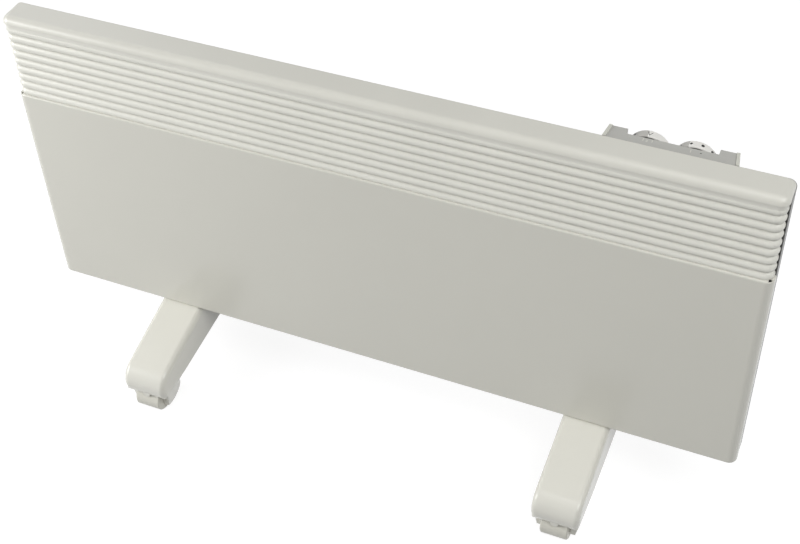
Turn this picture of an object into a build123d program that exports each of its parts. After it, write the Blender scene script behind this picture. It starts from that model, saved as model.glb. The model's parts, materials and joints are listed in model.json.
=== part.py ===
"""Panel convector heater on two castor feet, with a louvred outlet and a rear control pod.

Frame: +X to the right seen from the front, +Y to the back, +Z up, millimetres.
The origin lies on the floor, under the middle of the casing and of the two feet.
"""
import os
from math import cos, radians, sin, sqrt, tan

from build123d import *

os.makedirs("parts", exist_ok=True)

# ---------------------------------------------------------------- casing sizes
casing_width = 890.0        # over the white front panel
casing_height = 393.0       # bottom of the casing to the top of the cover
body_depth = 74.0           # front plane to the back of the rear box
upright_depth = 35.5        # front plane to the rear edge of the top cover
front_wrap = 13.8           # how far the front panel goes round the sides
corner_radius = 10.0        # vertical front corners, in plan
panel_sheet = 1.2           # steel of the front panel
panel_height = 286.9        # front panel, from the bottom of the casing
panel_rim = 2.5             # rounding of the panel's top and bottom rims
relief_width = 6.0          # notches where the panel's upper flanges meet at its corners
relief_depth = 1.6
rear_sheet = 1.0            # steel of the rear shell
rear_step = 0.7             # rear shell's sides lie this far inside the front panel
seam_gap = 0.3              # line between neighbouring outer pieces

# ---------------------------------------------------------------- top cover
cover_height = 9.1          # visible height of the cover's front
cover_inset = 1.2           # cover lies this far behind the front panel's skin
cover_round = 8.6           # rounding of its top front and side edges
cover_wall = 1.5
cover_boss = 8.0            # square screw bosses behind its rear wall

# ---------------------------------------------------------------- outlet grille
slat_count = 9
slat_inset = 1.9            # outermost line of a slat behind the front panel's skin
slat_dip = 2.3              # the lowest slat's lip would end this far below the panel's top
slat_head = 2.6             # top of the last slat's pitch to the cover
slat_step = 1.6             # lip of a slat above the outer edge of the next one
slat_wall = 1.3
slat_lip = 2.3              # how far a slat's lower lip lies inward
slat_lean = 2.0             # how far its upper edge lies inward
slat_crest = 0.51           # height of the outermost line, as a part of the slat's own height
slat_upright = (0.65, 1.4)  # ends of its upright inner side, as parts of the crest's height
slat_tail = 5.5             # flange that climbs inward from the upper edge, behind the next lip
slat_climb = 38.0           # degrees
rib_count = 10
rib_wall = 2.0
rib_inset = 5.2             # ribs and posts behind the outermost line of the slats
rib_depth = 7.0
rail_height = 2.4

# ---------------------------------------------------------------- rear box
box_end = 35.0              # end of the casing to the side of the box
box_drop = 63.0             # top of the casing to the top of the box
box_slope = 24.0            # drop of its sloping top
box_edge = 5.0
inlet_length = 60.0         # air inlet slots in the back
inlet_slot = 5.0
inlet_end = 77.0            # side of the box to the middle of the last slots
inlet_pitch_z = 13.0
inlet_columns = 10
inlet_rows = 5
inlet_level = 24.0          # lowest row above the bottom of the casing
vent_length = 70.0          # air inlet slots in the bottom
vent_slot = 16.0
vent_end = 109.0            # side of the box to the middle of the last vent
vent_count = 8
wall_slot_spacing_x = 500.0
wall_slot_spacing_z = 120.0
wall_slot_level = 210.0     # middle of the four wall-bracket slots above the casing's bottom
wall_slot_length = 16.0
wall_slot_radius = 3.25

# ---------------------------------------------------------------- feet and castors
foot_end = 175.25           # end of the casing to the middle of the foot
foot_width = 58.0
foot_wall = 3.0
foot_flat = 64.4            # level top of the foot, under the casing
foot_slope = 14.5           # degrees, upper line of each arm
foot_round = 7.0            # rounding of the long upper edges and the noses
foot_middle_depth = 45.9    # depth of the foot at its middle
foot_underside = 6.5        # degrees, rise of the underside towards the middle
nose_set = 3.0              # nose's arc this far behind the middle of the cheek
nose_radius = 25.0
nose_lip = 38.0             # degrees below level where the nose's skin ends
cheek_reach = 125.0         # middle of the foot to the middle of each round cheek
cheek_drop = 66.5
cheek_radius = 20.3
cheek_round = 6.0
cheek_taper = 6.2           # each cheek draws in by this much
cheek_taper_drop = 56.0     # from this depth down to the cheek's lowest point
axle_lead = 3.0             # axle this far ahead of the middle of the cheek
axle_drop = 76.5
axle_radius = 2.5
axle_grip = 4.0             # length of the axle inside each cheek
roller_radius = 18.0
roller_length = 33.0
roller_side_gap = 0.7
roller_gap = 1.4            # roller to the wall of its pocket
roller_edge = 1.2
running_clearance = 0.06    # radial, shafts in their bores
nub_radius = 5.0            # round tab under the middle of each nose's lip
nub_rise = 10.6             # its lowest point above the axle
nub_wall = 1.6
nub_gap = 0.4               # tab to the roller

# ---------------------------------------------------------------- control pod
pod_end = 126.2             # right end of the casing to the middle of the pod
pod_front_width = 137.5
pod_rear_width = 131.5
pod_depth = 16.0
pod_tilt = 10.0             # degrees, fascia rises to the back
pod_height = 53.0           # underside of the pod below the top of the casing
fascia_drop = 1.1           # fascia's front edge below the top of the cover
fascia_sheet = 2.0
strip_depth = 9.6           # fascia strip in front of the dials
rim_rise = 1.2
rim_wall = 3.4
dial_radius = 22.0
dial_width = 9.0
dial_spacing = 47.4
dial_proud = 2.4            # crest of a dial above the fascia strip's rear edge
dial_front_gap = 1.0        # strip to the dial's front face
dial_side_gap = 0.8         # dial to the walls of its bay
dial_rim = 2.1              # thickness of the light rim
dial_disc = 4.0             # thickness of the black disc
dial_hub_radius = 6.5
dial_edge = 0.7
shaft_radius = 3.0
bush_radius = 4.8
bush_length = 8.0
switch_width = 30.0
switch_height = 19.0
switch_depth = 20.0
switch_corner = 2.0
thermostat_width = 36.0
thermostat_depth = 17.0
shaft_seat = 8.0            # length of the shaft inside its switch

# ---------------------------------------------------------------- heating parts
element_end = 80.0          # side of the box to the end of the fins
element_level = 78.0
element_arm = 24.0          # reach of each fin from the rod
element_fin = 2.2
element_spread = 32.0       # degrees, fins from the vertical
rod_radius = 4.5
rod_overhang = 34.0
insulator_radius = 9.0
insulator_length = 12.0
bracket_sheet = 1.5
bracket_width = 34.0
bracket_foot = 16.0
shield_end = 60.0           # side of the box to the end of the shield
shield_low = 96.0           # both edges above the casing's bottom
shield_high = 292.0
shield_sheet = 0.8
shield_stand = 7.0          # shield to the back of the rear box
cutout_radius = 9.0
cutout_height = 6.0
cutout_edge = 1.0
cutout_end = 200.0          # end of the shield to the middle of the cut-out
terminal_gap = 8.0          # element bracket to the terminal block
terminal_length = 34.0
terminal_depth = 16.0
terminal_height = 14.0
terminal_edge = 1.0
terminal_hole = 2.4
terminal_hole_pitch = 10.0
gland_end = 44.0            # side of the box to the middle of the gland
gland_rise = 28.0           # above the inlet slots
gland_radius = 9.0
gland_bore = 4.2
gland_flange = 12.0
gland_length = 14.0

# ---------------------------------------------------------------- screws
foot_screw_radius = 2.5
foot_screw_head = 4.5
foot_screw_spacing = 34.0
foot_boss_radius = 6.5
foot_boss_drop = 9.0
small_screw_radius = 1.7
small_head_radius = 3.2
small_head_height = 1.8
screw_clearance = 0.05
cover_screw_end = 25.0      # end of the casing to the last screw
cover_screw_count = 4
panel_screw_end = 40.0
panel_screw_count = 4

# ---------------------------------------------------------------- derived levels
casing_bottom = axle_drop + roller_radius
casing_top = casing_bottom + casing_height
front_y = -body_depth / 2
rear_y = body_depth / 2
seam_y = front_y + upright_depth          # inner face of the upright rear wall
wall_y = seam_y + rear_sheet              # outer face of the upright rear wall
wrap_y = front_y + front_wrap
cover_low = casing_top - cover_height
panel_top = casing_bottom + panel_height
shell_low = casing_bottom + panel_sheet
half_width = casing_width / 2
foot_x = half_width - foot_end
nose_reach = cheek_reach - nose_set
axle_reach = cheek_reach + axle_lead
pod_x = half_width - pod_end
box_half = half_width - box_end
grille_low = panel_top + seam_gap
grille_high = cover_low - seam_gap
slat_base = panel_top - slat_dip
slat_pitch = (cover_low - slat_base - slat_head) / slat_count


def rounded_block(half, y_front, y_back, z_low, z_high, corner, top_round, low_round):
    """Block with rounded vertical front corners and rounded front and side rims."""
    with BuildPart() as block:
        with BuildSketch(Plane.XY.offset(z_low)) as plan:
            with Locations((0, (y_front + y_back) / 2)):
                Rectangle(2 * half, y_back - y_front)
            fillet(plan.vertices().group_by(Axis.Y)[0], corner)
        extrude(amount=z_high - z_low)
        if top_round > 0:
            rim = block.faces().sort_by(Axis.Z)[-1].edges().sort_by(Axis.Y)[:-1]
            fillet(rim, top_round)
        if low_round > 0:
            rim = block.faces().sort_by(Axis.Z)[0].edges().sort_by(Axis.Y)[:-1]
            fillet(rim, low_round)
    return block.part


def row(count, reach):
    """Evenly spaced positions from minus reach to plus reach."""
    return [reach * (2 * i / (count - 1) - 1) for i in range(count)]


# ================================================================ front panel
panel_skin = rounded_block(
    half_width, front_y, wrap_y, casing_bottom, panel_top,
    corner_radius, panel_rim, panel_rim,
)
panel_hollow = rounded_block(
    half_width - panel_sheet, front_y + panel_sheet, wrap_y + panel_sheet,
    casing_bottom + panel_sheet, panel_top - panel_sheet,
    corner_radius - panel_sheet, panel_rim - panel_sheet, panel_rim - panel_sheet,
)
panel_screw_y = wrap_y - small_head_radius - seam_gap
panel_screw_spots = [(x, panel_screw_y)
                     for x in row(panel_screw_count, half_width - panel_screw_end)]
with BuildPart() as front_panel:
    add(panel_skin)
    add(panel_hollow, mode=Mode.SUBTRACT)
    with BuildSketch(Plane.XY.offset(casing_bottom)):
        with Locations(*panel_screw_spots):
            Circle(small_screw_radius + screw_clearance)
    extrude(amount=panel_sheet, mode=Mode.SUBTRACT)
    with BuildSketch(Plane.XY.offset(panel_top - relief_depth)):
        with Locations((0, front_y + relief_width / 2)):
            with GridLocations(2 * half_width - relief_width, relief_width, 2, 1):
                Rectangle(relief_width, relief_width)
    extrude(amount=relief_depth, mode=Mode.SUBTRACT)
front_panel.part.label = "front_panel"
export_step(front_panel.part, "parts/front_panel.step")

# ================================================================ top cover
cover_half = half_width - cover_inset
cover_front = front_y + cover_inset
cover_skin = rounded_block(
    cover_half, cover_front, seam_y, cover_low, casing_top,
    corner_radius, cover_round, 0,
)
cover_hollow = rounded_block(
    cover_half - cover_wall, cover_front + cover_wall, seam_y - cover_wall,
    cover_low - cover_wall, casing_top - cover_wall,
    corner_radius - cover_wall, cover_round - cover_wall, 0,
)
cover_screw_z = (cover_low + casing_top - cover_wall) / 2
cover_screw_spots = row(cover_screw_count, half_width - cover_screw_end)
with BuildPart() as top_cover:
    add(cover_skin)
    add(cover_hollow, mode=Mode.SUBTRACT)
    with BuildSketch(Plane.XY.offset(cover_low)):
        with Locations(*[(x, seam_y - cover_wall - cover_boss / 2) for x in cover_screw_spots]):
            Rectangle(cover_boss, cover_boss + cover_wall)
    extrude(amount=cover_height - cover_wall)
    with BuildSketch(Plane.XZ.offset(-seam_y)):
        with Locations(*[(x, cover_screw_z) for x in cover_screw_spots]):
            Circle(small_screw_radius)
    extrude(amount=cover_boss, mode=Mode.SUBTRACT)
top_cover.part.label = "top_cover"
export_step(top_cover.part, "parts/top_cover.step")

# ================================================================ outlet grille
slat_height = slat_pitch - slat_step
slat_half = half_width - slat_inset
slat_front = front_y + slat_inset
climb_x = cos(radians(slat_climb))
climb_z = sin(radians(slat_climb))
crest = slat_crest * slat_height


def slat_run(level):
    """Outermost line of a slat, round both corners, at the given level."""
    with BuildLine(Plane.XY.offset(level)) as run:
        Line((-slat_half, wrap_y), (-slat_half, slat_front + corner_radius))
        RadiusArc((-slat_half, slat_front + corner_radius),
                  (-slat_half + corner_radius, slat_front), -corner_radius)
        Line((-slat_half + corner_radius, slat_front), (slat_half - corner_radius, slat_front))
        RadiusArc((slat_half - corner_radius, slat_front),
                  (slat_half, slat_front + corner_radius), -corner_radius)
        Line((slat_half, slat_front + corner_radius), (slat_half, wrap_y))
    return run.line


def slat_plane(level):
    """Plane of a slat's section at the left end: +X goes inward, +Y up."""
    return Plane(origin=(-slat_half, wrap_y, level), x_dir=(1, 0, 0), z_dir=(0, -1, 0))


# round slat with a flange that climbs inward behind the lip of the next slat
with BuildPart() as slat:
    with BuildSketch(slat_plane(slat_base)):
        with BuildLine():
            outer = ThreePointArc((slat_lean, slat_height), (0, crest), (slat_lip, 0))
            Polyline(outer @ 1,
                     (slat_lip + slat_wall * climb_x, slat_wall * climb_z),
                     (slat_wall, crest * slat_upright[0]), (slat_wall, crest * slat_upright[1]),
                     (slat_lean + slat_wall * climb_z, slat_height - slat_wall * climb_x),
                     (slat_lean + slat_tail * climb_x + slat_wall * climb_z,
                      slat_height + slat_tail * climb_z - slat_wall * climb_x),
                     (slat_lean + slat_tail * climb_x, slat_height + slat_tail * climb_z),
                     outer @ 0)
        make_face()
    sweep(path=slat_run(slat_base))

# upright band between the uppermost slat and the cover
band_low = slat_base + (slat_count - 1) * slat_pitch + crest * slat_upright[1]
with BuildPart() as head_band:
    with BuildSketch(slat_plane(band_low)):
        with Locations((slat_wall, (grille_high - band_low) / 2)):
            Rectangle(slat_wall, grille_high - band_low)
    sweep(path=slat_run(band_low))

rib_front = slat_front + rib_inset
rib_back = rib_front + rib_depth
post_outer = slat_half - rib_inset
rib_reach = post_outer * (rib_count - 1) / (rib_count + 1)
with BuildPart() as outlet_grille:
    with Locations(*[(0, 0, i * slat_pitch) for i in range(slat_count)]):
        add(slat.part)
    add(head_band.part)
    with BuildSketch(Plane.XY.offset(grille_low)):
        with Locations(*[(x, (rib_front + rib_back) / 2) for x in row(rib_count, rib_reach)]):
            Rectangle(rib_wall, rib_depth)
        for side in (-1, 1):
            with Locations((side * (post_outer - rib_wall / 2), (rib_back + wrap_y) / 2)):
                Rectangle(rib_wall, wrap_y - rib_back + rib_wall)
    extrude(amount=grille_high - grille_low)
    for level in (grille_low, grille_high - rail_height):
        with BuildSketch(Plane.XY.offset(level)):
            with Locations((0, rib_back - rib_wall)):
                Rectangle(2 * post_outer, rib_wall)
        extrude(amount=rail_height)
    # the lowest slat ends just above the panel's flange
    split(bisect_by=Plane.XY.offset(grille_low), keep=Keep.TOP)
outlet_grille.part.label = "outlet_grille"
export_step(outlet_grille.part, "parts/outlet_grille.step")

# ================================================================ rear shell
shell_half = half_width - rear_step
box_top = casing_top - box_drop
shell_front = wrap_y + seam_gap
dial_z = (casing_top - fascia_drop + strip_depth * tan(radians(pod_tilt))
          + dial_proud - dial_radius)
dial_spots = [(pod_x - dial_spacing / 2, dial_z), (pod_x + dial_spacing / 2, dial_z)]
pod_screw_spots = [(pod_x + side * (pod_front_width / 2 - 2 * rim_wall), dial_z)
                   for side in (-1, 1)]
foot_screw_spots = [(side * foot_x + dx, 0) for side in (-1, 1)
                    for dx in (-foot_screw_spacing / 2, foot_screw_spacing / 2)]
element_y = (front_y + rear_y) / 2
gland_x = box_half - gland_end
gland_z = casing_bottom + inlet_level + inlet_rows * inlet_pitch_z + gland_rise


def rear_box_block(half, y_front, y_back, z_low, z_high, slope, edge):
    """Rear box: square below, with a sloping top and rounded rear edges."""
    with BuildPart() as block:
        with BuildSketch(Plane.YZ):
            Polygon((y_front, z_low), (y_back, z_low), (y_back, z_high - slope),
                    (y_front, z_high), align=None)
        extrude(amount=half, both=True)
        upright = block.edges().filter_by(Axis.Z).group_by(Axis.Y)[-1]
        fillet(upright, edge)
    return block.part


box_skin = rear_box_block(box_half, seam_y, rear_y, shell_low,
                          box_top, box_slope, box_edge)
box_hollow = rear_box_block(box_half - rear_sheet, seam_y - rear_sheet, rear_y - rear_sheet,
                            shell_low + rear_sheet, box_top - rear_sheet,
                            box_slope, box_edge - rear_sheet)
with BuildPart() as rear_shell:
    # upright wall behind the cover and the grille
    with BuildSketch(Plane.XZ.offset(-wall_y)) as wall:
        with Locations((0, (shell_low + casing_top - rear_step) / 2)):
            Rectangle(2 * shell_half, casing_top - rear_step - shell_low)
        fillet(wall.vertices().group_by(Axis.Y)[-1], cover_round)
    extrude(amount=rear_sheet)
    # side flanges and bottom flange
    with BuildSketch(Plane.XZ.offset(-seam_y)):
        with Locations((0, (shell_low + cover_low - seam_gap) / 2)):
            Rectangle(2 * shell_half, cover_low - seam_gap - shell_low)
        with Locations((0, (shell_low + rear_sheet + cover_low) / 2)):
            Rectangle(2 * (shell_half - rear_sheet), cover_low - shell_low - rear_sheet,
                      mode=Mode.SUBTRACT)
    extrude(amount=seam_y - shell_front)
    # tongue of the bottom flange over the front panel's own flange
    with BuildSketch(Plane.XY.offset(shell_low)):
        with Locations((0, (panel_screw_y - small_head_radius + shell_front) / 2)):
            Rectangle(2 * (half_width - corner_radius),
                      shell_front - panel_screw_y + small_head_radius)
    extrude(amount=rear_sheet)
    add(box_skin)
    add(box_hollow, mode=Mode.SUBTRACT)
    # air inlet slots in the back
    with BuildSketch(Plane.XZ.offset(-rear_y)):
        with Locations((0, casing_bottom + inlet_level + (inlet_rows - 1) * inlet_pitch_z / 2)):
            with GridLocations(2 * (box_half - inlet_end) / (inlet_columns - 1), inlet_pitch_z,
                               inlet_columns, inlet_rows):
                SlotOverall(inlet_length, inlet_slot)
    extrude(amount=2 * rear_sheet, mode=Mode.SUBTRACT)
    # slots for the wall bracket
    with BuildSketch(Plane.XZ.offset(-rear_y)):
        with Locations((0, casing_bottom + wall_slot_level)):
            with GridLocations(wall_slot_spacing_x, wall_slot_spacing_z, 2, 2):
                SlotOverall(wall_slot_length, 2 * wall_slot_radius)
    extrude(amount=2 * rear_sheet, mode=Mode.SUBTRACT)
    # air inlet slots and screw holes in the bottom
    with BuildSketch(Plane.XY.offset(shell_low)):
        with Locations((0, (wall_y + rear_y) / 2)):
            with Locations(*[(x, 0) for x in row(vent_count, box_half - vent_end)]):
                SlotOverall(vent_length, vent_slot)
        with Locations(*foot_screw_spots):
            Circle(foot_screw_radius + screw_clearance)
        with Locations(*panel_screw_spots):
            Circle(small_screw_radius + screw_clearance)
    extrude(amount=rear_sheet, mode=Mode.SUBTRACT)
    # holes in the upright wall: cover screws, pod screws and the two switch bushes
    with BuildSketch(Plane.XZ.offset(-wall_y)):
        with Locations(*[(x, cover_screw_z) for x in cover_screw_spots]):
            Circle(small_screw_radius + screw_clearance)
        with Locations(*pod_screw_spots):
            Circle(small_screw_radius + screw_clearance)
        with Locations(*dial_spots):
            Circle(bush_radius + screw_clearance)
    extrude(amount=rear_sheet, mode=Mode.SUBTRACT)
    # hole for the cord gland
    with BuildSketch(Plane.XZ.offset(-rear_y)):
        with Locations((gland_x, gland_z)):
            Circle(gland_radius + screw_clearance)
    extrude(amount=2 * rear_sheet, mode=Mode.SUBTRACT)
rear_shell.part.label = "rear_shell"
export_step(rear_shell.part, "parts/rear_shell.step")

# ================================================================ feet
nose_z = casing_bottom - tan(radians(foot_slope)) * (nose_reach - foot_flat / 2) \
    - nose_radius / cos(radians(foot_slope))
cheek_z = casing_bottom - cheek_drop
axle_z = roller_radius
middle_z = casing_bottom - foot_middle_depth
kink_z = middle_z - tan(radians(foot_underside)) * (cheek_reach - cheek_radius)
pocket_half = roller_length / 2 + roller_side_gap
half_foot = foot_width / 2
lip_y = -nose_reach - nose_radius * cos(radians(nose_lip))
lip_z = nose_z - nose_radius * sin(radians(nose_lip))
tangent_y = -nose_reach - nose_radius * sin(radians(foot_slope))
tangent_z = nose_z + nose_radius * cos(radians(foot_slope))
pad_front = wrap_y + seam_gap
nub_reach = axle_reach + sqrt((roller_radius + nub_gap) ** 2 - nub_rise ** 2)

with BuildPart() as foot_form:
    # side outline: level top, sloping arms, round noses
    with BuildSketch(Plane.YZ) as side:
        with BuildLine():
            Line((0, casing_bottom), (-foot_flat / 2, casing_bottom))
            Line((-foot_flat / 2, casing_bottom), (tangent_y, tangent_z))
            ThreePointArc((tangent_y, tangent_z), (-nose_reach - nose_radius, nose_z),
                          (lip_y, lip_z))
            Line((lip_y, lip_z), (-cheek_reach + cheek_radius, kink_z))
            Line((-cheek_reach + cheek_radius, kink_z), (0, middle_z))
            Line((0, middle_z), (0, casing_bottom))
        make_face()
        mirror(about=Plane.YZ)
    extrude(amount=half_foot, both=True)
    arm_edges = foot_form.edges().filter_by(GeomType.LINE).filter_by(Axis.X, reverse=True)
    upper_edges = [e for e in arm_edges if (e @ 0.5).Z > middle_z]
    nose_edges = foot_form.edges().filter_by(GeomType.CIRCLE)
    fillet(upper_edges + nose_edges, foot_round)

with BuildPart() as cheek_form:
    with BuildSketch(Plane.YZ.offset(-half_foot)):
        with Locations((-cheek_reach, cheek_z), (cheek_reach, cheek_z)):
            Circle(cheek_radius)
    extrude(amount=foot_width)
    fillet(cheek_form.edges().filter_by(GeomType.CIRCLE), cheek_round)

with BuildPart() as foot:
    add(foot_form.part)
    add(cheek_form.part)
    # lower flanks draw in towards the castor
    with BuildSketch(Plane.XZ):
        taper_low = cheek_z - cheek_radius
        taper_high = casing_bottom - cheek_taper_drop
        for side in (-1, 1):
            Polygon((side * half_foot, taper_high), (side * (half_foot - cheek_taper), taper_low),
                    (side * (half_foot - cheek_taper), 0), (side * foot_width, 0),
                    (side * foot_width, taper_high), align=None)
    extrude(amount=2 * nose_reach, both=True, mode=Mode.SUBTRACT)
    # castor pockets, open below, and the hollow of each nose above them
    with BuildSketch(Plane.YZ):
        with Locations((-axle_reach, axle_z), (axle_reach, axle_z)):
            Circle(roller_radius + roller_gap)
        with Locations((-nose_reach, nose_z), (nose_reach, nose_z)):
            Circle(nose_radius - foot_wall)
        for side in (-1, 1):
            Polygon((side * (axle_reach - roller_radius - roller_gap), axle_z),
                    (side * (axle_reach + roller_radius + roller_gap), axle_z),
                    (side * (axle_reach + roller_radius + roller_gap), 0),
                    (side * (axle_reach - roller_radius - roller_gap), 0), align=None)
    extrude(amount=pocket_half, both=True, mode=Mode.SUBTRACT)
    # round tab under the middle of each lip, just clear of the roller
    for side in (-1, 1):
        with BuildSketch(Plane.XZ.offset(side * nub_reach)):
            with Locations((0, axle_z + nub_rise + nub_radius)):
                Circle(nub_radius)
        extrude(amount=side * nub_wall)
    # hollow of the arms, open below
    with BuildSketch(Plane.YZ):
        hollow_end = cheek_reach - cheek_radius - foot_wall
        hollow_z = casing_bottom - foot_wall / cos(radians(foot_slope)) \
            - (hollow_end - foot_flat / 2) * tan(radians(foot_slope))
        Polygon((-hollow_end, 0), (-hollow_end, hollow_z), (-foot_flat / 2, casing_bottom - foot_wall),
                (foot_flat / 2, casing_bottom - foot_wall), (hollow_end, hollow_z),
                (hollow_end, 0), align=None)
    extrude(amount=half_foot - foot_wall, both=True, mode=Mode.SUBTRACT)
    # pad under the rear shell, and the screw bosses
    with BuildSketch(Plane.XY.offset(casing_bottom)):
        with Locations((0, (pad_front + foot_flat / 2) / 2)):
            Rectangle(foot_width - 2 * foot_round, foot_flat / 2 - pad_front)
    extrude(amount=panel_sheet)
    with BuildSketch(Plane.XY.offset(casing_bottom - foot_wall)):
        with GridLocations(foot_screw_spacing, foot_screw_spacing, 2, 1):
            Circle(foot_boss_radius)
    extrude(amount=-(foot_boss_drop - foot_wall))
    with BuildSketch(Plane.XY.offset(casing_bottom - foot_boss_drop)):
        with GridLocations(foot_screw_spacing, foot_screw_spacing, 2, 1):
            Circle(foot_screw_radius + screw_clearance)
    extrude(amount=foot_boss_drop + panel_sheet, mode=Mode.SUBTRACT)
    # blind seats of the axles in the cheeks
    with BuildSketch(Plane.YZ):
        with Locations((-axle_reach, axle_z), (axle_reach, axle_z)):
            Circle(axle_radius + screw_clearance)
    extrude(amount=pocket_half + axle_grip + screw_clearance, both=True, mode=Mode.SUBTRACT)

with BuildPart() as left_foot:
    with Locations((-foot_x, 0, 0)):
        add(foot.part)
left_foot.part.label = "left_foot"
export_step(left_foot.part, "parts/left_foot.step")

with BuildPart() as right_foot:
    with Locations((foot_x, 0, 0)):
        add(foot.part)
right_foot.part.label = "right_foot"
export_step(right_foot.part, "parts/right_foot.step")

# ================================================================ castors
with BuildPart() as roller:
    with BuildSketch(Plane.XY):
        with BuildLine():
            bore = axle_radius + running_clearance
            half = roller_length / 2
            Polyline((-half, bore), (-half, roller_radius - roller_edge),
                     (-half + roller_edge, roller_radius), (half - roller_edge, roller_radius),
                     (half, roller_radius - roller_edge), (half, bore), close=True)
        make_face()
    revolve(axis=Axis.X)

with BuildPart() as axle:
    with BuildSketch(Plane.YZ):
        Circle(axle_radius)
    extrude(amount=pocket_half + axle_grip, both=True)

castor_spots = {
    "left_front": (-foot_x, -axle_reach), "left_rear": (-foot_x, axle_reach),
    "right_front": (foot_x, -axle_reach), "right_rear": (foot_x, axle_reach),
}
for spot, (x, y) in castor_spots.items():
    with BuildPart() as placed_roller:
        with Locations((x, y, axle_z)):
            add(roller.part)
    placed_roller.part.label = spot + "_roller"
    export_step(placed_roller.part, "parts/" + spot + "_roller.step")
    with BuildPart() as placed_axle:
        with Locations((x, y, axle_z)):
            add(axle.part)
    placed_axle.part.label = spot + "_axle"
    export_step(placed_axle.part, "parts/" + spot + "_axle.step")

# ================================================================ control pod
pod_half = pod_front_width / 2
fascia_z = casing_top - fascia_drop
fascia_plane = Plane(origin=(pod_x, wall_y, fascia_z), x_dir=(1, 0, 0),
                     z_dir=(0, -sin(radians(pod_tilt)), cos(radians(pod_tilt))))
bay_half = dial_spacing / 2 + dial_radius + dial_side_gap
bay_front = wall_y + strip_depth
bay_floor = dial_z - dial_radius - dial_side_gap
pod_low = casing_top - pod_height
fascia_half = pod_half - rim_wall
pod_draft = (pod_front_width - pod_rear_width) / 2


def pod_outline(inset):
    """Plan of the pod, drawn in by the same amount at both ends."""
    Polygon((pod_x - pod_half + inset, wall_y), (pod_x + pod_half - inset, wall_y),
            (pod_x + pod_half - inset - pod_draft, wall_y + pod_depth),
            (pod_x - pod_half + inset + pod_draft, wall_y + pod_depth), align=None)


with BuildPart() as control_housing:
    with BuildSketch(Plane.XY.offset(pod_low)):
        pod_outline(0)
    extrude(amount=pod_height + pod_depth)
    split(bisect_by=fascia_plane.offset(rim_rise), keep=Keep.BOTTOM)
    # seat of the fascia between the two raised rims
    with BuildSketch(fascia_plane.offset(-fascia_sheet)):
        Polygon((-fascia_half, -pod_depth), (fascia_half, -pod_depth), (fascia_half, 0),
                (fascia_half - 2 * pod_draft, 2 * pod_depth),
                (-fascia_half + 2 * pod_draft, 2 * pod_depth), (-fascia_half, 0), align=None)
    extrude(amount=pod_depth, mode=Mode.SUBTRACT)
    # bay of the dials, open above and behind
    with BuildSketch(Plane.XY.offset(bay_floor)):
        with Locations((pod_x, bay_front + pod_depth / 2)):
            Rectangle(2 * bay_half, pod_depth)
    extrude(amount=casing_top, mode=Mode.SUBTRACT)
    # holes for the bushes and for the two screws
    with BuildSketch(Plane.XZ.offset(-wall_y)):
        with Locations(*dial_spots):
            Circle(bush_radius + screw_clearance)
    extrude(amount=-strip_depth, mode=Mode.SUBTRACT)
    with BuildSketch(Plane.XZ.offset(-wall_y)):
        with Locations(*pod_screw_spots):
            Circle(small_screw_radius)
    extrude(amount=-strip_depth, mode=Mode.SUBTRACT)
control_housing.part.label = "control_housing"
export_step(control_housing.part, "parts/control_housing.step")

with BuildPart() as control_fascia:
    with BuildSketch(Plane.XY.offset(casing_top - pod_depth)):
        pod_outline(rim_wall + screw_clearance)
    extrude(amount=2 * pod_depth)
    split(bisect_by=fascia_plane, keep=Keep.BOTTOM)
    split(bisect_by=fascia_plane.offset(-fascia_sheet), keep=Keep.TOP)
    with BuildSketch(Plane.XY.offset(casing_top - pod_depth)):
        with Locations((pod_x, bay_front + pod_depth / 2)):
            Rectangle(2 * bay_half, pod_depth)
    extrude(amount=2 * pod_depth, mode=Mode.SUBTRACT)
control_fascia.part.label = "control_fascia"
export_step(control_fascia.part, "parts/control_fascia.step")

# ================================================================ dials
dial_front = bay_front + dial_front_gap
dial_back = dial_front + dial_width
disc_front = dial_front + dial_edge
shaft_front = seam_y - shaft_seat

with BuildPart() as dial_rim_form:
    with BuildSketch(Plane.XZ.offset(-dial_back)):
        Circle(dial_radius)
        Circle(dial_radius - dial_rim, mode=Mode.SUBTRACT)
    extrude(amount=dial_width)
    outer_edges = dial_rim_form.edges().filter_by(GeomType.CIRCLE).sort_by(SortBy.RADIUS)[-2:]
    fillet(outer_edges, dial_edge)

with BuildPart() as dial_hub_form:
    with BuildSketch(Plane.XZ.offset(-disc_front - dial_disc)):
        Circle(dial_radius - dial_rim)
    extrude(amount=dial_disc)
    with BuildSketch(Plane.XZ.offset(-dial_back)):
        Circle(dial_hub_radius)
    extrude(amount=dial_width)
    with BuildSketch(Plane.XZ.offset(-dial_back)):
        Circle(shaft_radius)
    extrude(amount=dial_width, mode=Mode.SUBTRACT)

with BuildPart() as shaft_form:
    with BuildSketch(Plane.XZ.offset(-dial_back)):
        Circle(shaft_radius)
    extrude(amount=dial_back - shaft_front)

for name, spot in zip(("mode", "thermostat"), dial_spots):
    with BuildPart() as rim_piece:
        with Locations((spot[0], 0, spot[1])):
            add(dial_rim_form.part)
    rim_piece.part.label = name + "_dial_rim"
    export_step(rim_piece.part, "parts/" + name + "_dial_rim.step")
    with BuildPart() as hub_piece:
        with Locations((spot[0], 0, spot[1])):
            add(dial_hub_form.part)
    hub_piece.part.label = name + "_dial_hub"
    export_step(hub_piece.part, "parts/" + name + "_dial_hub.step")
    with BuildPart() as shaft_piece:
        with Locations((spot[0], 0, spot[1])):
            add(shaft_form.part)
    shaft_piece.part.label = name + "_shaft"
    export_step(shaft_piece.part, "parts/" + name + "_shaft.step")


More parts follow.
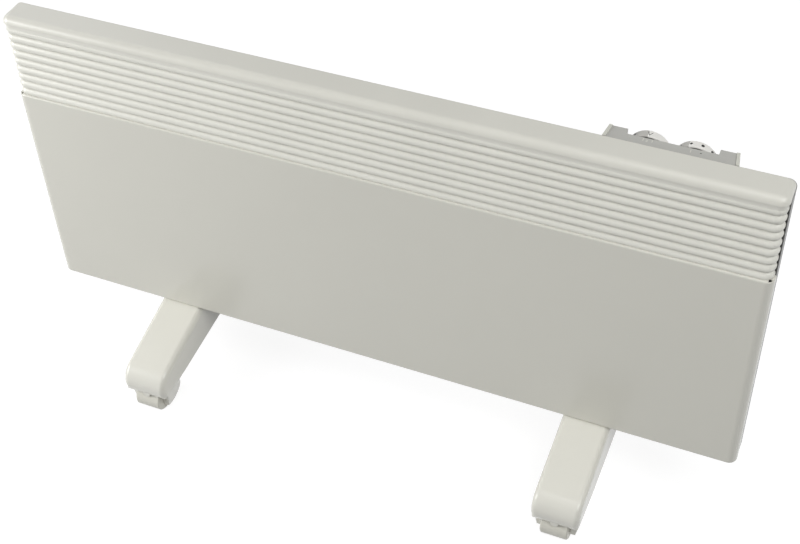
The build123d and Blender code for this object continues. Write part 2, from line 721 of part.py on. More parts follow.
def switch_body(spot, width, depth):
    """Switch or thermostat: a block inside the casing with a bush through the wall."""
    with BuildPart() as body:
        with BuildSketch(Plane.XZ.offset(-seam_y)):
            with Locations(spot):
                RectangleRounded(width, switch_height, switch_corner)
        extrude(amount=depth)
        with BuildSketch(Plane.XZ.offset(-seam_y)):
            with Locations(spot):
                Circle(bush_radius)
        extrude(amount=-bush_length)
        with BuildSketch(Plane.XZ.offset(-seam_y - bush_length)):
            with Locations(spot):
                Circle(shaft_radius + running_clearance)
        extrude(amount=bush_length + shaft_seat + running_clearance, mode=Mode.SUBTRACT)
    return body.part


mode_switch = switch_body(dial_spots[0], switch_width, switch_depth)
mode_switch.label = "mode_switch"
export_step(mode_switch, "parts/mode_switch.step")

thermostat = switch_body(dial_spots[1], thermostat_width, thermostat_depth)
thermostat.label = "thermostat"
export_step(thermostat, "parts/thermostat.step")

# ================================================================ heating element
element_z = casing_bottom + element_level
floor_z = shell_low + rear_sheet          # inner face of the rear shell's bottom
element_half = box_half - element_end
rod_half = element_half + rod_overhang
insulator_mid = rod_half - insulator_length / 2 - rod_radius

with BuildPart() as heating_element:
    with BuildSketch(Plane.YZ):
        with Locations((element_y, element_z)):
            for lean in (element_spread, -element_spread):
                Rectangle(element_fin, 2 * element_arm, rotation=lean)
            Circle(rod_radius + element_fin)
            Circle(rod_radius, mode=Mode.SUBTRACT)
    extrude(amount=element_half, both=True)
heating_element.part.label = "heating_element"
export_step(heating_element.part, "parts/heating_element.step")

with BuildPart() as element_rod:
    with BuildSketch(Plane.YZ):
        with Locations((element_y, element_z)):
            Circle(rod_radius)
    extrude(amount=rod_half, both=True)
element_rod.part.label = "element_rod"
export_step(element_rod.part, "parts/element_rod.step")

for side, name in ((-1, "left"), (1, "right")):
    with BuildPart() as insulator:
        with BuildSketch(Plane.YZ.offset(side * insulator_mid)):
            with Locations((element_y, element_z)):
                Circle(insulator_radius)
                Circle(rod_radius, mode=Mode.SUBTRACT)
        extrude(amount=insulator_length / 2, both=True)
    insulator.part.label = name + "_insulator"
    export_step(insulator.part, "parts/" + name + "_insulator.step")
    with BuildPart() as element_bracket:
        with BuildSketch(Plane.YZ.offset(side * insulator_mid)):
            with Locations((element_y, (floor_z + element_z + insulator_radius) / 2)):
                Rectangle(bracket_width, element_z + insulator_radius - floor_z)
            with Locations((element_y, element_z)):
                Circle(bracket_width / 2)
                Circle(insulator_radius, mode=Mode.SUBTRACT)
        extrude(amount=bracket_sheet / 2, both=True)
        with BuildSketch(Plane.XY.offset(floor_z)):
            with Locations((side * (insulator_mid - bracket_foot / 2), element_y)):
                Rectangle(bracket_foot, bracket_width)
        extrude(amount=bracket_sheet)
    element_bracket.part.label = name + "_element_bracket"
    export_step(element_bracket.part, "parts/" + name + "_element_bracket.step")

# ================================================================ heat shield
box_back = rear_y - rear_sheet            # inner face of the rear box's back
shield_y = box_back - shield_stand
with BuildPart() as heat_shield:
    with BuildSketch(Plane.YZ):
        with BuildLine():
            low = casing_bottom + shield_low
            high = casing_bottom + shield_high
            Polyline((box_back, low), (shield_y - shield_sheet, low),
                     (shield_y - shield_sheet, high), (box_back, high),
                     (box_back, high - shield_sheet), (shield_y, high - shield_sheet),
                     (shield_y, low + shield_sheet), (box_back, low + shield_sheet), close=True)
        make_face()
    extrude(amount=box_half - shield_end, both=True)
heat_shield.part.label = "heat_shield"
export_step(heat_shield.part, "parts/heat_shield.step")

with BuildPart() as thermal_cutout:
    with BuildSketch(Plane.XZ.offset(-shield_y + shield_sheet)):
        with Locations((box_half - shield_end - cutout_end,
                        casing_bottom + shield_low + 2 * cutout_radius)):
            Circle(cutout_radius)
    extrude(amount=cutout_height)
    fillet(thermal_cutout.faces().sort_by(Axis.Y)[0].edges(), cutout_edge)
thermal_cutout.part.label = "thermal_cutout"
export_step(thermal_cutout.part, "parts/thermal_cutout.step")

# ================================================================ terminal block and gland
terminal_x = insulator_mid + bracket_sheet + terminal_gap + terminal_length / 2
with BuildPart() as terminal_block:
    with BuildSketch(Plane.XY.offset(floor_z)):
        with Locations((terminal_x, wall_y - terminal_depth)):
            Rectangle(terminal_length, terminal_depth)
    extrude(amount=terminal_height)
    chamfer(terminal_block.faces().sort_by(Axis.Z)[-1].edges(), terminal_edge)
    with BuildSketch(Plane.XY.offset(floor_z + terminal_height)):
        with Locations((terminal_x, wall_y - terminal_depth)):
            with GridLocations(terminal_hole_pitch, terminal_hole_pitch, 3, 1):
                Circle(terminal_hole)
    extrude(amount=-terminal_height / 2, mode=Mode.SUBTRACT)
terminal_block.part.label = "terminal_block"
export_step(terminal_block.part, "parts/terminal_block.step")

with BuildPart() as cord_gland:
    with BuildSketch(Plane.XZ.offset(-rear_y)):
        with Locations((gland_x, gland_z)):
            Circle(gland_radius)
    extrude(amount=gland_length)
    with BuildSketch(Plane.XZ.offset(-box_back)):
        with Locations((gland_x, gland_z)):
            Circle(gland_flange)
    extrude(amount=2 * rear_sheet)
    with BuildSketch(Plane.XZ.offset(-rear_y)):
        with Locations((gland_x, gland_z)):
            Circle(gland_bore)
    extrude(amount=gland_length, mode=Mode.SUBTRACT)
cord_gland.part.label = "cord_gland"
export_step(cord_gland.part, "parts/cord_gland.step")


# ================================================================ screws
def screw_form(radius, length, head_radius, head_height):
    """Screw along +Z: the head's seat lies at zero and the shank goes up."""
    with BuildPart() as screw:
        with BuildSketch(Plane.XY.offset(-head_height)):
            Circle(head_radius)
        extrude(amount=head_height)
        chamfer(screw.faces().sort_by(Axis.Z)[0].edges(), head_height / 3)
        with BuildSketch(Plane.XY):
            Circle(radius)
        extrude(amount=length)
    return screw.part


foot_screw = screw_form(foot_screw_radius, foot_boss_drop + panel_sheet + 3 * rear_sheet,
                        foot_screw_head, foot_screw_radius)
with BuildPart() as foot_screws:
    with Locations(*[(x, y, casing_bottom - foot_boss_drop) for x, y in foot_screw_spots]):
        add(foot_screw)
foot_screws.part.label = "foot_screws"
export_step(foot_screws.part, "parts/foot_screws.step")

small_screw = screw_form(small_screw_radius, cover_boss, small_head_radius, small_head_height)
with BuildPart() as panel_screws:
    with Locations(*[(x, y, casing_bottom) for x, y in panel_screw_spots]):
        add(small_screw)
panel_screws.part.label = "panel_screws"
export_step(panel_screws.part, "parts/panel_screws.step")

with BuildPart() as cover_screws:
    with Locations(*[Plane(origin=(x, wall_y, cover_screw_z), x_dir=(1, 0, 0), z_dir=(0, -1, 0))
                     for x in cover_screw_spots]):
        add(small_screw)
cover_screws.part.label = "cover_screws"
export_step(cover_screws.part, "parts/cover_screws.step")

with BuildPart() as pod_screws:
    with Locations(*[Plane(origin=(x, seam_y, z), x_dir=(1, 0, 0), z_dir=(0, 1, 0))
                     for x, z in pod_screw_spots]):
        add(small_screw)
pod_screws.part.label = "pod_screws"
export_step(pod_screws.part, "parts/pod_screws.step")
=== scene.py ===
import json
from math import cos, pi, radians, sin, sqrt

import bmesh
import bpy
from mathutils import Matrix, Vector


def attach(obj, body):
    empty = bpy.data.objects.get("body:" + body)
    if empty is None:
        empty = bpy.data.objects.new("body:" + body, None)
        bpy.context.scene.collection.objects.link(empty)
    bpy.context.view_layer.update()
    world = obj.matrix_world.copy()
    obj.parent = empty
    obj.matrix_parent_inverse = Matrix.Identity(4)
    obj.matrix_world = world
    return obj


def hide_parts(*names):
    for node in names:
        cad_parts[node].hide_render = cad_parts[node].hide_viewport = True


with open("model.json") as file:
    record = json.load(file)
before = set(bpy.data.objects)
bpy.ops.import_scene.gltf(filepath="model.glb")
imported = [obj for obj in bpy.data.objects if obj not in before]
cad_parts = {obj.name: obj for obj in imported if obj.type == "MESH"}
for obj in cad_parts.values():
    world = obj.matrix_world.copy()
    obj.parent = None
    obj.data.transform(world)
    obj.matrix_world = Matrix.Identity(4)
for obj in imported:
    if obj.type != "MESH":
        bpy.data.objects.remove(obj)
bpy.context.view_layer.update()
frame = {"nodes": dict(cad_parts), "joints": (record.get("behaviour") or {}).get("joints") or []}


# ------------------------------------------------------------------ sizes and places
# The sizes of the heater's pieces are written in mm, and mm turns them into metres.
# The dials and the castors are where their joints are, to the nearest 0.01 mm.
mm = 0.001
joint_place = {joint["name"]: [round(value / mm, 2) for value in joint["pos_m"]]
               for joint in frame["joints"]}
mode_dial_x, _, dial_z = joint_place["mode_turn"]
thermostat_dial_x = joint_place["thermostat_turn"][0]
dial_radius = 22.0
foot_x = joint_place["right_front_roll"][0]


# ------------------------------------------------------------------ camera
# The heater is seen from above and from its right, with a slight roll.
camera_place = Vector((0.5167, -1.0759, 1.3592))
look_at = Vector((0.04016, -0.0370, 0.25784))
camera_roll = radians(-2.46)
lens_mm = 62.98

forward = (look_at - camera_place).normalized()
level_right = forward.cross(Vector((0, 0, 1))).normalized()
level_up = level_right.cross(forward)
right = cos(camera_roll) * level_right + sin(camera_roll) * level_up
up = -sin(camera_roll) * level_right + cos(camera_roll) * level_up
camera_data = bpy.data.cameras.new("studio_camera")
camera_data.lens = lens_mm
camera_data.sensor_width = 36.0
camera_data.clip_start = 0.05
camera_data.clip_end = 50.0
camera = bpy.data.objects.new("studio_camera", camera_data)
bpy.context.collection.objects.link(camera)
camera_turn = Matrix((right, up, -forward)).transposed()
camera.matrix_world = Matrix.Translation(camera_place) @ camera_turn.to_4x4()
bpy.context.scene.camera = camera


# ------------------------------------------------------------------ kinds of finish
def new_material(name):
    """A material with its Principled shader and its node tree."""
    material = bpy.data.materials.new(name)
    material.use_nodes = True
    return material, material.node_tree, material.node_tree.nodes["Principled BSDF"]


def object_noise(tree, scale, detail, rough=0.5, stretch=(1, 1, 1)):
    """Noise on the piece's own coordinates, in metres, stretched if asked."""
    place = tree.nodes.new("ShaderNodeTexCoord")
    mapping = tree.nodes.new("ShaderNodeMapping")
    mapping.inputs["Scale"].default_value = stretch
    noise = tree.nodes.new("ShaderNodeTexNoise")
    noise.inputs["Scale"].default_value = scale
    noise.inputs["Detail"].default_value = detail
    noise.inputs["Roughness"].default_value = rough
    tree.links.new(place.outputs["Object"], mapping.inputs["Vector"])
    tree.links.new(mapping.outputs["Vector"], noise.inputs["Vector"])
    return noise.outputs["Fac"]


def shades(tone, share):
    """The tone made darker, and made lighter, by a share of itself."""
    darker = tuple(c * (1 - share) for c in tone)
    lighter = tuple(min(1.0, c * (1 + share)) for c in tone)
    return darker, lighter


def ramp(tree, value, low, high, start=0.35, end=0.65):
    """Colour that runs from low to high as the value rises from start to end."""
    node = tree.nodes.new("ShaderNodeValToRGB")
    node.color_ramp.elements[0].position = start
    node.color_ramp.elements[0].color = (*low, 1)
    node.color_ramp.elements[1].position = end
    node.color_ramp.elements[1].color = (*high, 1)
    tree.links.new(value, node.inputs["Fac"])
    return node.outputs["Color"]


def spread(tree, value, low, high):
    """The value, mapped to the range from low to high."""
    node = tree.nodes.new("ShaderNodeMapRange")
    node.inputs["To Min"].default_value = low
    node.inputs["To Max"].default_value = high
    tree.links.new(value, node.inputs["Value"])
    return node.outputs["Result"]


def bump(tree, shader, value, strength, distance):
    """Relief from the value on the shader's normal."""
    node = tree.nodes.new("ShaderNodeBump")
    node.inputs["Strength"].default_value = strength
    node.inputs["Distance"].default_value = distance
    tree.links.new(value, node.inputs["Height"])
    tree.links.new(node.outputs["Normal"], shader.inputs["Normal"])


def stove_enamel(name, tone, gloss, clouds=4.0, peel=900.0, relief=0.05):
    """Sprayed and baked enamel: faint clouds in its colour and a fine orange peel."""
    material, tree, shader = new_material(name)
    cloud = object_noise(tree, scale=clouds, detail=3.0)
    tree.links.new(ramp(tree, cloud, *shades(tone, share=0.01)), shader.inputs["Base Color"])
    speck = object_noise(tree, scale=peel / 5, detail=4.0, rough=0.6)
    tree.links.new(spread(tree, speck, gloss - 0.03, gloss + 0.03), shader.inputs["Roughness"])
    bump(tree, shader, object_noise(tree, scale=peel, detail=2.0), relief, distance=0.0002)
    shader.inputs["Coat Weight"].default_value = 0.25
    shader.inputs["Coat Roughness"].default_value = 0.18
    return material


def plastic_surface(name, gloss, grain, relief, coat=0.0):
    """Injection-moulded plastic before its colour: fine grain and scuffs in the gloss."""
    material, tree, shader = new_material(name)
    scuff = object_noise(tree, scale=60.0, detail=6.0, rough=0.65)
    tree.links.new(spread(tree, scuff, gloss - 0.02, gloss + 0.02), shader.inputs["Roughness"])
    bump(tree, shader, object_noise(tree, scale=grain, detail=2.0), relief, distance=0.00015)
    shader.inputs["Coat Weight"].default_value = coat
    shader.inputs["Coat Roughness"].default_value = 0.2
    return material, tree, shader


def moulded_plastic(name, tone, gloss, grain, relief, coat=0.0):
    """Injection-moulded plastic in one colour, with faint flow marks."""
    material, tree, shader = plastic_surface(name, gloss, grain, relief, coat)
    flow = object_noise(tree, scale=9.0, detail=4.0, rough=0.55, stretch=(1, 0.35, 1))
    tree.links.new(ramp(tree, flow, *shades(tone, share=0.015)), shader.inputs["Base Color"])
    return material


def rim_plastic_lit_and_shaded(name, centre_x, border):
    """Dial rim: painted shade in grey on its left, from a border left of its top, in degrees;
    painted light elsewhere.
    """
    material, tree, shader = plastic_surface(name, gloss=0.33, grain=1500.0, relief=0.1)
    place = tree.nodes.new("ShaderNodeTexCoord")
    centred = tree.nodes.new("ShaderNodeMapping")
    centred.inputs["Rotation"].default_value = (-pi / 2, 0, 0)
    centred.inputs["Location"].default_value = (-centre_x * mm, -dial_z * mm, 0)
    sweep = tree.nodes.new("ShaderNodeTexGradient")
    sweep.gradient_type = "RADIAL"
    tree.links.new(place.outputs["Object"], centred.inputs["Vector"])
    tree.links.new(centred.outputs["Vector"], sweep.inputs["Vector"])
    # a full turn of the rim runs from 0 to 1, anticlockwise from its left
    rim_top = 0.75
    pale_start = 0.03
    # the grey left part is painted shade and the pale rest painted light, as if lamps lit the rim
    # from its right
    tones = tree.nodes.new("ShaderNodeValToRGB")
    tones.color_ramp.interpolation = "CONSTANT"
    tones.color_ramp.elements[0].position = 0.0
    tones.color_ramp.elements[0].color = (*rim_painted_shade, 1)
    tones.color_ramp.elements[1].position = pale_start
    tones.color_ramp.elements[1].color = (*rim_painted_light, 1)
    tones.color_ramp.elements.new(rim_top + border / 360).color = (*rim_painted_shade, 1)
    tree.links.new(sweep.outputs["Fac"], tones.inputs["Fac"])
    tree.links.new(tones.outputs["Color"], shader.inputs["Base Color"])
    return material


def drawn_metal(name, tone, gloss, stretch):
    """Metal with fine lines along its drawing direction and a slight dulling."""
    material, tree, shader = new_material(name)
    shader.inputs["Metallic"].default_value = 1.0
    lines = object_noise(tree, scale=500.0, detail=5.0, rough=0.6, stretch=stretch)
    groove = tuple(c * 0.82 for c in tone)
    tree.links.new(ramp(tree, lines, groove, tone), shader.inputs["Base Color"])
    dull = object_noise(tree, scale=40.0, detail=4.0)
    tree.links.new(spread(tree, dull, gloss - 0.06, gloss + 0.1), shader.inputs["Roughness"])
    bump(tree, shader, lines, strength=0.12, distance=0.0001)
    return material


# ------------------------------------------------------------------ finishes of this heater
panel_white = (0.674, 0.666, 0.600)
cover_white = (0.702, 0.695, 0.630)
# the grille's white is the cover's plastic made lighter: painted light for the light the slats
# catch, which also lightens the shade lines between them
grille_white_painted_light = (0.765, 0.760, 0.695)
foot_white = (0.750, 0.742, 0.675)
# painted light and painted shade of the dial rims: a pale and a grey copy of one plastic
rim_painted_light = (0.84, 0.83, 0.79)
rim_painted_shade = (0.50, 0.49, 0.46)

panel_enamel = stove_enamel("panel_enamel", panel_white, gloss=0.24)
# near-black shell: its tone is partly the steel's own and partly painted shade for the thin dark
# line along the heater's right side and rear top edge
shell_enamel = stove_enamel("shell_enamel", (0.110, 0.110, 0.104), gloss=0.45,
                            clouds=12.0, peel=1400.0, relief=0.25)
cover_plastic = moulded_plastic("cover_plastic", cover_white, gloss=0.30,
                                grain=1100.0, relief=0.06, coat=0.35)
# grille plastic, lighter than the cover's by painted light
grille_plastic = moulded_plastic("grille_plastic", grille_white_painted_light, gloss=0.32,
                                 grain=1100.0, relief=0.05, coat=0.15)
foot_plastic = moulded_plastic("foot_plastic", foot_white, gloss=0.26,
                               grain=700.0, relief=0.05, coat=0.3)
roller_nylon = moulded_plastic("roller_nylon", (0.68, 0.67, 0.60), gloss=0.38,
                               grain=1500.0, relief=0.12)
housing_plastic = moulded_plastic("housing_plastic", (0.60, 0.60, 0.54), gloss=0.36,
                                  grain=1500.0, relief=0.12)
fascia_plastic = moulded_plastic("fascia_plastic", (0.455, 0.452, 0.425), gloss=0.42,
                                 grain=1800.0, relief=0.2)
# dial rims with painted shade on their left and painted light on the rest
mode_rim_plastic = rim_plastic_lit_and_shaded("mode_rim_plastic", mode_dial_x, border=3.0)
thermostat_rim_plastic = rim_plastic_lit_and_shaded("thermostat_rim_plastic", thermostat_dial_x, border=20.0)
black_plastic = moulded_plastic("black_plastic", (0.012, 0.012, 0.012), gloss=0.40,
                                grain=1700.0, relief=0.15)
mark_ink = moulded_plastic("mark_ink", (0.006, 0.006, 0.006), gloss=0.50,
                           grain=1700.0, relief=0.1)
pale_ink = moulded_plastic("pale_ink", (0.62, 0.61, 0.56), gloss=0.45,
                           grain=1700.0, relief=0.1)
white_ceramic = moulded_plastic("white_ceramic", (0.78, 0.76, 0.70), gloss=0.55,
                                grain=900.0, relief=0.2)
axle_steel = drawn_metal("axle_steel", (0.56, 0.56, 0.55), gloss=0.28, stretch=(0.06, 1, 1))
zinc_steel = drawn_metal("zinc_steel", (0.62, 0.63, 0.64), gloss=0.36, stretch=(1, 1, 1))
fin_aluminium = drawn_metal("fin_aluminium", (0.70, 0.70, 0.70), gloss=0.36,
                            stretch=(0.03, 1, 1))

finishes = {
    "front_panel": panel_enamel,
    "rear_shell": shell_enamel,
    "top_cover": cover_plastic,
    "outlet_grille": grille_plastic,
    "left_foot": foot_plastic,
    "right_foot": foot_plastic,
    "control_housing": housing_plastic,
    "control_fascia": fascia_plastic,
    "mode_dial_rim": mode_rim_plastic,
    "thermostat_dial_rim": thermostat_rim_plastic,
    "mode_dial_hub": black_plastic,
    "thermostat_dial_hub": black_plastic,
    "mode_shaft": axle_steel,
    "thermostat_shaft": axle_steel,
    "mode_switch": black_plastic,
    "thermostat": black_plastic,
    "thermal_cutout": black_plastic,
    "terminal_block": black_plastic,
    "cord_gland": black_plastic,
    "heating_element": fin_aluminium,
    "element_rod": axle_steel,
    "left_insulator": white_ceramic,
    "right_insulator": white_ceramic,
    "left_element_bracket": zinc_steel,
    "right_element_bracket": zinc_steel,
    "heat_shield": zinc_steel,
    "foot_screws": zinc_steel,
    "panel_screws": zinc_steel,
    "cover_screws": zinc_steel,
    "pod_screws": zinc_steel,
}
for corner in ("left_front", "left_rear", "right_front", "right_rear"):
    finishes[corner + "_roller"] = roller_nylon
    finishes[corner + "_axle"] = axle_steel
for node, finish in finishes.items():
    solid = frame["nodes"][node]
    solid.data.materials.clear()
    solid.data.materials.append(finish)


# ------------------------------------------------------------------ making a piece
def new_verts(made):
    """The vertices among what an operator made."""
    return [item for item in made if isinstance(item, bmesh.types.BMVert)]


def slab(shape, ring, reach):
    """Closed solid between a flat ring of points and the same ring moved by reach."""
    face = shape.faces.new([shape.verts.new(place) for place in ring])
    wall = bmesh.ops.extrude_face_region(shape, geom=[face], use_keep_orig=True)["geom"]
    bmesh.ops.translate(shape, verts=new_verts(wall), vec=reach)


def mesh_object(name, shape):
    """Object at the origin that takes over the finished shape."""
    mesh = bpy.data.meshes.new(name)
    shape.to_mesh(mesh)
    shape.free()
    made = bpy.data.objects.new(name, mesh)
    bpy.context.collection.objects.link(made)
    return made


def add_piece(name, shape, finish, body):
    """The finished shape as a piece that rides on a body."""
    bmesh.ops.recalc_face_normals(shape, faces=shape.faces)
    piece = mesh_object(name, shape)
    piece.data.materials.append(finish)
    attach(piece, body)
    return piece


# ------------------------------------------------------------------ feet
# Each foot's solid keeps a narrow band in front of its rollers, below the lip of the nose.
# The band is cut away, the cheeks start behind the lip, and the nose's lower corners are
# rounded, so that the roller shows from the lip down. The front nose is at negative y, and
# the rear nose is its mirror image.
nose_y, nose_z, nose_radius = -122.0, 45.45, 25.03     # just outside the nose's round skin
lip_turns = range(22, 39, 4)                           # down that skin, degrees below level
lip_inside = (-140.6, 29.2)                            # y and z of the lip's inner edge
cheek_front, cheek_top = -134.5, 23.0                  # where the cheeks start
cut_front, cut_bottom = -152.0, 2.0                    # limits of the cut
cut_half = 40.0                                        # half of its width
half_foot, lip_z = 29.0, 29.8                          # the nose, seen from the front
corner_radius = 8.0
corner_turns = range(0, 91, 15)                        # along a rounded corner, in degrees
corner_depth = 14.5                                    # rounded from cut_front this far back
tab_radius, tab_wall = 5.0, 1.6                        # round tab under the lip's middle
tab_y, tab_z = 143.85, 33.6
weld_gap = 1e-6                                        # metres
sharp_edge = radians(28)


def band_cutter():
    """Solids of what is cut away below both noses of a foot."""
    profile = [(nose_y - nose_radius * cos(radians(turn)),
                nose_z - nose_radius * sin(radians(turn))) for turn in lip_turns]
    skin_top = profile[0][1]
    profile += [lip_inside, (cheek_front, cheek_top), (cheek_front, cut_bottom),
                (cut_front, cut_bottom), (cut_front, skin_top)]
    shape = bmesh.new()
    for side in (1, -1):
        ring = [(-cut_half, side * y, z) for y, z in profile]
        slab(shape, ring, (2 * cut_half, 0, 0))
    return shape


def corner_cutter():
    """Solids that round the lower corners of both noses, as seen from the front."""
    middle_x = half_foot - corner_radius
    middle_z = lip_z + corner_radius
    profile = [(middle_x + corner_radius * sin(radians(turn)),
                middle_z - corner_radius * cos(radians(turn))) for turn in corner_turns]
    profile += [(cut_half, middle_z), (cut_half, cut_bottom), (middle_x, cut_bottom)]
    shape = bmesh.new()
    for side in (1, -1):
        for end in (1, -1):
            ring = [(end * x, side * cut_front, z) for x, z in profile]
            slab(shape, ring, (0, side * corner_depth, 0))
    return shape


def place_cutter(name, shape, centre_x):
    """The cutter's shape, closed to the outside, at a foot and in metres."""
    bmesh.ops.recalc_face_normals(shape, faces=shape.faces)
    bmesh.ops.translate(shape, verts=shape.verts, vec=(centre_x, 0, 0))
    bmesh.ops.scale(shape, verts=shape.verts, vec=(mm, mm, mm))
    return mesh_object(name, shape)


def cut_away(blank, cutters):
    """The blank's shape without the cutters; the blank and the cutters are used up."""
    for cutter in cutters:
        cut = blank.modifiers.new("cut", "BOOLEAN")
        cut.operation = "DIFFERENCE"
        cut.solver = "EXACT"
        cut.object = cutter
    bpy.context.view_layer.update()
    graph = bpy.context.evaluated_depsgraph_get()
    shape = bmesh.new()
    shape.from_mesh(blank.evaluated_get(graph).to_mesh())
    for used in (blank, *cutters):
        bpy.data.objects.remove(used)
    return shape


def add_tab(shape, centre_x, y):
    """Round tab that stands under the middle of a nose's lip."""
    tab = bmesh.ops.create_cone(shape, cap_ends=True, segments=40, radius1=tab_radius * mm,
                                radius2=tab_radius * mm, depth=tab_wall * mm)["verts"]
    bmesh.ops.rotate(shape, verts=tab, matrix=Matrix.Rotation(pi / 2, 3, "X"))
    bmesh.ops.translate(shape, verts=tab, vec=(centre_x * mm, y * mm, tab_z * mm))


def recut_foot(node, centre_x):
    """Piece for a foot with open rollers: its solid, cut away below each nose, and tabs."""
    whole = bmesh.new()
    whole.from_mesh(frame["nodes"][node].data)
    bmesh.ops.remove_doubles(whole, verts=whole.verts, dist=weld_gap)
    blank = mesh_object(node + "_whole", whole)
    cutters = [place_cutter(node + "_cutter", make(), centre_x)
               for make in (band_cutter, corner_cutter)]
    shape = cut_away(blank, cutters)
    for side in (-1, 1):
        add_tab(shape, centre_x, side * tab_y)
    skin = add_piece(node + "_skin", shape, foot_plastic, "heater")
    skin.data.shade_smooth()
    skin.data.set_sharp_from_angle(angle=sharp_edge)
    even = skin.modifiers.new("even_normals", "WEIGHTED_NORMAL")
    even.keep_sharp = True
    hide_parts(node)


recut_foot("left_foot", -foot_x)
recut_foot("right_foot", foot_x)


# ------------------------------------------------------------------ marks on the dials
mark_sink = 0.10          # below the surface that a mark is printed on
mark_proud = 0.05         # above it
mark_height = mark_sink + mark_proud
mark_middle = (mark_proud - mark_sink) / 2


def disc(shape, radius):
    """Flat round mark with the surface that carries it at height zero."""
    made = bmesh.ops.create_cone(shape, cap_ends=True, cap_tris=True, segments=28,
                                 radius1=radius, radius2=radius, depth=mark_height)
    bmesh.ops.translate(shape, verts=made["verts"], vec=(0, 0, mark_middle))
    return made["verts"]


def outline(shape, corners, radius, line, stretch=1.0):
    """Closed outline of one line width, with a corner to the front."""
    outer = bmesh.ops.create_circle(shape, segments=corners, radius=radius)["verts"]
    inner = bmesh.ops.create_circle(shape, segments=corners, radius=radius - line)["verts"]
    rings = [edge for edge in shape.edges if edge.verts[0] in outer + inner]
    band = bmesh.ops.bridge_loops(shape, edges=rings)["faces"]
    bmesh.ops.scale(shape, verts=outer + inner, vec=(1, -stretch, 1))
    bmesh.ops.translate(shape, verts=outer + inner, vec=(0, 0, -mark_sink))
    wall = bmesh.ops.extrude_face_region(shape, geom=band, use_keep_orig=True)["geom"]
    top = new_verts(wall)
    bmesh.ops.translate(shape, verts=top, vec=(0, 0, mark_height))
    return outer + inner + top


def wrap_on_rim(verts, turn, centre_x, middle_y):
    """Bend a flat mark round a dial's rim, turned clockwise from the top, in degrees."""
    for vert in verts:
        angle = radians(turn) + vert.co.x / dial_radius
        reach = dial_radius + vert.co.z
        vert.co = ((centre_x + reach * sin(angle)) * mm, (middle_y + vert.co.y) * mm,
                   (dial_z + reach * cos(angle)) * mm)


# seven dots that grow with the temperature
first_dot, dot_growth = 1.20, 0.27        # radius of the first, and how much each one adds
first_turn, dot_turn = -46.5, 30.5        # degrees: place of the first, and step to the next
dot_row_y = 14.3
dots = bmesh.new()
for count in range(7):
    dot = disc(dots, first_dot + dot_growth * count)
    wrap_on_rim(dot, first_turn + dot_turn * count, thermostat_dial_x, dot_row_y)
add_piece("thermostat_dots", dots, mark_ink, "thermostat_dial")

# one mark for each position of the mode switch: triangle, dot, ring and square
mark_row_y = 14.4
marks = bmesh.new()
triangle = outline(marks, corners=3, radius=3.1, line=1.1, stretch=1.15)
wrap_on_rim(triangle, 0, mode_dial_x, mark_row_y)
wrap_on_rim(disc(marks, 1.5), -45, mode_dial_x, mark_row_y + 1.0)
wrap_on_rim(outline(marks, corners=24, radius=2.2, line=0.6), -90, mode_dial_x, mark_row_y)
wrap_on_rim(outline(marks, corners=4, radius=2.4, line=0.6), -135, mode_dial_x, mark_row_y)
add_piece("mode_marks", marks, mark_ink, "mode_dial")


# ------------------------------------------------------------------ marks on the fascia strip
strip_tilt = Matrix.Rotation(radians(10.0), 4, "X")
strip_y, strip_z = -0.5, 486.4            # a level line in the strip's plane

# each bar: x and y of its middle, its width and its depth
pale_bars = ((mode_dial_x - 4.9, 6.4, 0.9, 3.4), (mode_dial_x - 1.1, 6.4, 2.2, 0.8),
             (mode_dial_x - 1.1, 4.8, 2.2, 0.8), (mode_dial_x + 4.3, 6.4, 0.9, 3.0),
             (thermostat_dial_x - 4.3, 5.2, 0.8, 3.6))
dark_bars = ((thermostat_dial_x + 5.9, 5.2, 1.5, 0.9),)


def strip_bars(bars):
    """Printed bars that lie on the tilted strip in front of the dials."""
    shape = bmesh.new()
    for x, y, width, depth in bars:
        bar = bmesh.ops.create_cone(shape, cap_ends=True, segments=4, radius1=sqrt(0.5),
                                    radius2=sqrt(0.5), depth=mark_height)["verts"]
        bmesh.ops.rotate(shape, verts=bar, matrix=Matrix.Rotation(pi / 4, 3, "Z"))
        bmesh.ops.scale(shape, verts=bar, vec=(width, depth, 1))
        bmesh.ops.translate(shape, verts=bar, vec=(x, y - strip_y, mark_middle))
        bmesh.ops.transform(shape, verts=bar, matrix=strip_tilt)
        bmesh.ops.translate(shape, verts=bar, vec=(0, strip_y, strip_z))
        bmesh.ops.scale(shape, verts=bar, vec=(mm, mm, mm))
    return shape


add_piece("pale_strip_marks", strip_bars(pale_bars), pale_ink, "heater")
add_piece("dark_strip_marks", strip_bars(dark_bars), mark_ink, "heater")


# ------------------------------------------------------------------ floor and backdrop
def seen_directly(tree):
    """One for camera, mirror and glass rays, zero for the light that bounces around."""
    path = tree.nodes.new("ShaderNodeLightPath")
    total = path.outputs["Is Camera Ray"]
    for kind in ("Is Glossy Ray", "Is Transmission Ray"):
        either = tree.nodes.new("ShaderNodeMath")
        either.operation = "MAXIMUM"
        tree.links.new(total, either.inputs[0])
        tree.links.new(path.outputs[kind], either.inputs[1])
        total = either.outputs[0]
    return total


def white_when_seen(tree, bounced, seen, output):
    """The seen shader where something looks at it, and the bounced one for the light."""
    choice = tree.nodes.new("ShaderNodeMixShader")
    tree.links.new(seen_directly(tree), choice.inputs[0])
    tree.links.new(bounced.outputs[0], choice.inputs[1])
    tree.links.new(seen.outputs[0], choice.inputs[2])
    tree.links.new(choice.outputs[0], tree.nodes[output].inputs["Surface"])


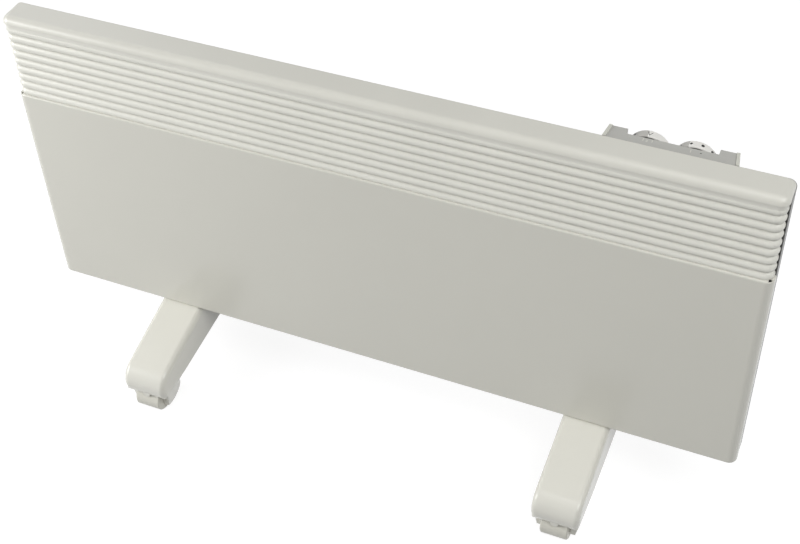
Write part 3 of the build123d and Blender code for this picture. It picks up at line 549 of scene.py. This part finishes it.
# the floor glows nearly white, and its paper keeps the heater's shadow
floor_paper, paper_tree, dull_paper = new_material("floor_paper")
dull_paper.inputs["Base Color"].default_value = (0.35, 0.35, 0.35, 1)
dull_paper.inputs["Roughness"].default_value = 0.9
glow = paper_tree.nodes.new("ShaderNodeEmission")
glow.inputs["Strength"].default_value = 0.85
paper = paper_tree.nodes.new("ShaderNodeBsdfDiffuse")
paper.inputs["Color"].default_value = (0.30, 0.30, 0.30, 1)
lit_paper = paper_tree.nodes.new("ShaderNodeAddShader")
paper_tree.links.new(glow.outputs[0], lit_paper.inputs[0])
paper_tree.links.new(paper.outputs[0], lit_paper.inputs[1])
white_when_seen(paper_tree, dull_paper, lit_paper, "Material Output")

floor_shape = bmesh.new()
bmesh.ops.create_grid(floor_shape, x_segments=1, y_segments=1, size=6.0)
floor = mesh_object("studio_floor", floor_shape)
floor.data.materials.append(floor_paper)

# plain white all round, and a weaker white that lights the heater
world = bpy.data.worlds.new("studio_air")
bpy.context.scene.world = world
world.use_nodes = True
sky = world.node_tree
air_light = sky.nodes["Background"]
air_light.inputs["Color"].default_value = (1, 1, 1, 1)
air_light.inputs["Strength"].default_value = 0.20
backdrop = sky.nodes.new("ShaderNodeBackground")
backdrop.inputs["Strength"].default_value = 1.0
white_when_seen(sky, air_light, backdrop, "World Output")


# ------------------------------------------------------------------ lamps
lamp_size = 1.2
lamp_distance = 2.2
heater_middle = Vector((0, 0, 0.3))


def softbox(name, turn, rise, power):
    """Square lamp aimed at the heater: turned from its front to its right, and raised."""
    data = bpy.data.lights.new(name, "AREA")
    data.size = lamp_size
    data.energy = power
    lamp = bpy.data.objects.new(name, data)
    level = cos(radians(rise))
    away = Vector((level * sin(radians(turn)), -level * cos(radians(turn)), sin(radians(rise))))
    lamp.location = heater_middle + lamp_distance * away
    lamp.rotation_euler = away.to_track_quat("Z", "Y").to_euler()
    lamp.visible_camera = False
    bpy.context.collection.objects.link(lamp)


softbox("left_softbox", turn=-60, rise=15, power=33)
softbox("right_softbox", turn=60, rise=40, power=14.5)
softbox("overhead_softbox", turn=30, rise=65, power=6)
softbox("end_softbox", turn=85, rise=50, power=7)
softbox("rear_softbox", turn=-120, rise=40, power=4)

bpy.context.scene.view_settings.view_transform = "Standard"
